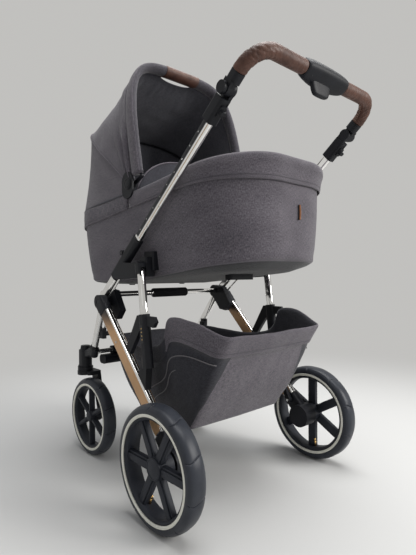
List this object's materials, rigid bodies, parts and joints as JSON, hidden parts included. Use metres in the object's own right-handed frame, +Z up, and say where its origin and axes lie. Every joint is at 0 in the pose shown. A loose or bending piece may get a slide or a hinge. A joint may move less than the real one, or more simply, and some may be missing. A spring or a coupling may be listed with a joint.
{
  "type": "baby stroller",
  "caption": "Folding baby stroller with a lift-off carrycot, folding canopy, foot apron, under-seat basket, swivelling front wheels and a tilting U-shaped handle.",
  "frame": {"origin": "centre of the footprint's bounding box at floor level", "axes": "+Z up, -Y towards the front wheels, +X towards the stroller's left side"},
  "size_m": [0.624, 0.8812, 1.1792],
  "materials": {
    "chrome_tube": "polished chromed aluminium tube",
    "steel_pin": "plain steel",
    "black_plastic": "fine-grained moulded nylon",
    "black_foam": "soft foam sleeve",
    "bronze_inlay": "satin bronze anodised strip",
    "tyre_rubber": "moulded rubber with a pale ring",
    "brown_leather": "stitched brown leatherette",
    "tag_tape": "woven tape, bare",
    "grey_cloth": "dense dark grey melange weave",
    "mattress_cloth": "plain pale knit"
  },
  "bodies": {
    "chassis": {"front_tube_left": "chrome_tube", "front_tube_right": "chrome_tube", "lower_joints": "black_plastic", "hinge_pins": "steel_pin", "hinge_blocks": "black_plastic", "upper_crossbar": "chrome_tube", "crossbar_grip": "black_foam", "front_crossbar": "chrome_tube", "footrest": "black_plastic", "caster_housings": "black_plastic", "cot_adaptors": "black_plastic", "support_rods": "chrome_tube", "basket_clips": "black_plastic", "basket": "grey_cloth"},
    "lock_left": {"swivel_lock_left": "black_plastic"},
    "lock_right": {"swivel_lock_right": "black_plastic"},
    "caster_left": {"fork_left": "black_plastic"},
    "caster_right": {"fork_right": "black_plastic"},
    "front_wheel_left": {"front_tyre_left": "tyre_rubber", "front_rim_left": "black_plastic"},
    "front_wheel_right": {"front_tyre_right": "tyre_rubber", "front_rim_right": "black_plastic"},
    "rear_frame": {"rear_leg_left": "chrome_tube", "rear_leg_right": "chrome_tube", "leg_inlays": "bronze_inlay", "leg_caps": "black_plastic", "strut_housings": "black_plastic", "rear_hubs": "black_plastic", "rear_pins": "steel_pin"},
    "brake": {"brake_pedal": "black_plastic"},
    "strut_slide_left": {"strut_left": "chrome_tube"},
    "strut_slide_right": {"strut_right": "chrome_tube"},
    "rear_wheel_left": {"rear_tyre_left": "tyre_rubber", "rear_rim_left": "black_plastic"},
    "rear_wheel_right": {"rear_tyre_right": "tyre_rubber", "rear_rim_right": "black_plastic"},
    "handle_tubes": {"upper_tube_left": "chrome_tube", "upper_tube_right": "chrome_tube", "upper_joints": "black_plastic", "collars": "black_plastic"},
    "slider_left": {"fold_slider_left": "black_plastic"},
    "slider_right": {"fold_slider_right": "black_plastic"},
    "handle": {"handlebar": "black_plastic", "grip_left": "brown_leather", "grip_right": "brown_leather", "console": "black_plastic"},
    "squeeze_lever": {"console_lever": "black_plastic"},
    "button_left": {"tilt_button_left": "black_plastic"},
    "button_right": {"tilt_button_right": "black_plastic"},
    "cot": {"cot_tub": "grey_cloth", "cot_rim": "grey_cloth", "cot_fittings": "black_plastic", "mattress": "mattress_cloth", "apron": "grey_cloth", "tag_label": "tag_tape", "canopy_pivots": "black_plastic", "canopy_rear_panel": "grey_cloth"},
    "canopy_ridge": {"ridge_bow": "black_plastic"},
    "canopy_front": {"front_bow": "black_plastic", "canopy_front_panel": "grey_cloth"}
  },
  "joints": [
    {"name": "frame_fold", "type": "hinge", "parent": "chassis", "child": "handle_tubes", "pos_m": [0, -0.05437, 0.61965], "axis": [1, 0, 0], "range_deg": [0, 160]},
    {"name": "rear_frame_fold", "type": "hinge", "parent": "chassis", "child": "rear_frame", "pos_m": [0, -0.14859, 0.48568], "axis": [-1, 0, 0], "range_deg": [0, 60]},
    {"name": "handle_tilt", "type": "hinge", "parent": "handle_tubes", "child": "handle", "pos_m": [0, 0.34122, 0.934], "axis": [1, 0, 0], "range_deg": [-45, 35]},
    {"name": "tilt_button_left", "type": "slide", "parent": "handle", "child": "button_left", "axis": [-1, 0, 0], "range_m": [0, 0.003], "stiffness_N_per_m": 400, "springref_m": -0.001},
    {"name": "fold_slider_left", "type": "slide", "parent": "handle_tubes", "child": "slider_left", "axis": [0, 0.7615, 0.6481], "range_m": [0, 0.006], "stiffness_N_per_m": 400, "springref_m": -0.001},
    {"name": "tilt_button_right", "type": "slide", "parent": "handle", "child": "button_right", "axis": [1, 0, 0], "range_m": [0, 0.003], "stiffness_N_per_m": 400, "springref_m": -0.001},
    {"name": "fold_slider_right", "type": "slide", "parent": "handle_tubes", "child": "slider_right", "axis": [0, 0.7615, 0.6481], "range_m": [0, 0.006], "stiffness_N_per_m": 400, "springref_m": -0.001},
    {"name": "squeeze_lever", "type": "slide", "parent": "handle", "child": "squeeze_lever", "axis": [0, 0, 1], "range_m": [0, 0.004], "stiffness_N_per_m": 500},
    {"name": "caster_swivel_left", "type": "hinge", "parent": "chassis", "child": "caster_left", "pos_m": [0.194, -0.3482, 0.26], "axis": [0, 0, 1], "continuous": true},
    {"name": "front_wheel_spin_left", "type": "hinge", "parent": "caster_left", "child": "front_wheel_left", "pos_m": [0.194, -0.2992, 0.118], "axis": [1, 0, 0], "continuous": true},
    {"name": "swivel_lock_left", "type": "hinge", "parent": "chassis", "child": "lock_left", "pos_m": [0.194, -0.3482, 0.261], "axis": [0, 0, 1], "range_deg": [0, 40]},
    {"name": "rear_wheel_spin_left", "type": "hinge", "parent": "rear_frame", "child": "rear_wheel_left", "pos_m": [0.2885, 0.1848, 0.138], "axis": [1, 0, 0], "continuous": true},
    {"name": "strut_travel_left", "type": "slide", "parent": "rear_frame", "child": "strut_slide_left", "axis": [0, 0.1208, -0.9927], "range_m": [0, 0.012], "stiffness_N_per_m": 2000, "springref_m": -0.003},
    {"name": "caster_swivel_right", "type": "hinge", "parent": "chassis", "child": "caster_right", "pos_m": [-0.194, -0.3482, 0.26], "axis": [0, 0, 1], "continuous": true},
    {"name": "front_wheel_spin_right", "type": "hinge", "parent": "caster_right", "child": "front_wheel_right", "pos_m": [-0.194, -0.2992, 0.118], "axis": [1, 0, 0], "continuous": true},
    {"name": "swivel_lock_right", "type": "hinge", "parent": "chassis", "child": "lock_right", "pos_m": [-0.194, -0.3482, 0.261], "axis": [0, 0, 1], "range_deg": [0, 40]},
    {"name": "rear_wheel_spin_right", "type": "hinge", "parent": "rear_frame", "child": "rear_wheel_right", "pos_m": [-0.2885, 0.1848, 0.138], "axis": [1, 0, 0], "continuous": true},
    {"name": "strut_travel_right", "type": "slide", "parent": "rear_frame", "child": "strut_slide_right", "axis": [0, 0.1208, -0.9927], "range_m": [0, 0.012], "stiffness_N_per_m": 2000, "springref_m": -0.003},
    {"name": "brake_press", "type": "hinge", "parent": "rear_frame", "child": "brake", "pos_m": [-0.2235, 0.14604, 0.17842], "axis": [1, 0, 0], "range_deg": [-18, 0]},
    {"name": "cot_lift", "type": "slide", "parent": "chassis", "child": "cot", "axis": [0, 0, 1], "range_m": [0, 0.25]},
    {"name": "canopy_ridge_fold", "type": "hinge", "parent": "cot", "child": "canopy_ridge", "pos_m": [0, -0.0582, 0.808], "axis": [1, 0, 0], "range_deg": [0, 33], "deforming": ["canopy_rear_panel"]},
    {"name": "canopy_front_fold", "type": "hinge", "parent": "canopy_ridge", "child": "canopy_front", "pos_m": [0, -0.0582, 0.808], "axis": [1, 0, 0], "range_deg": [0, 50], "deforming": ["canopy_front_panel"]}
  ],
  "couplings": [
    {"joint": "rear_frame_fold", "follows": "frame_fold", "ratio": 0.375},
    {"joint": "canopy_front_fold", "follows": "canopy_ridge_fold", "ratio": 1.5}
  ]
}
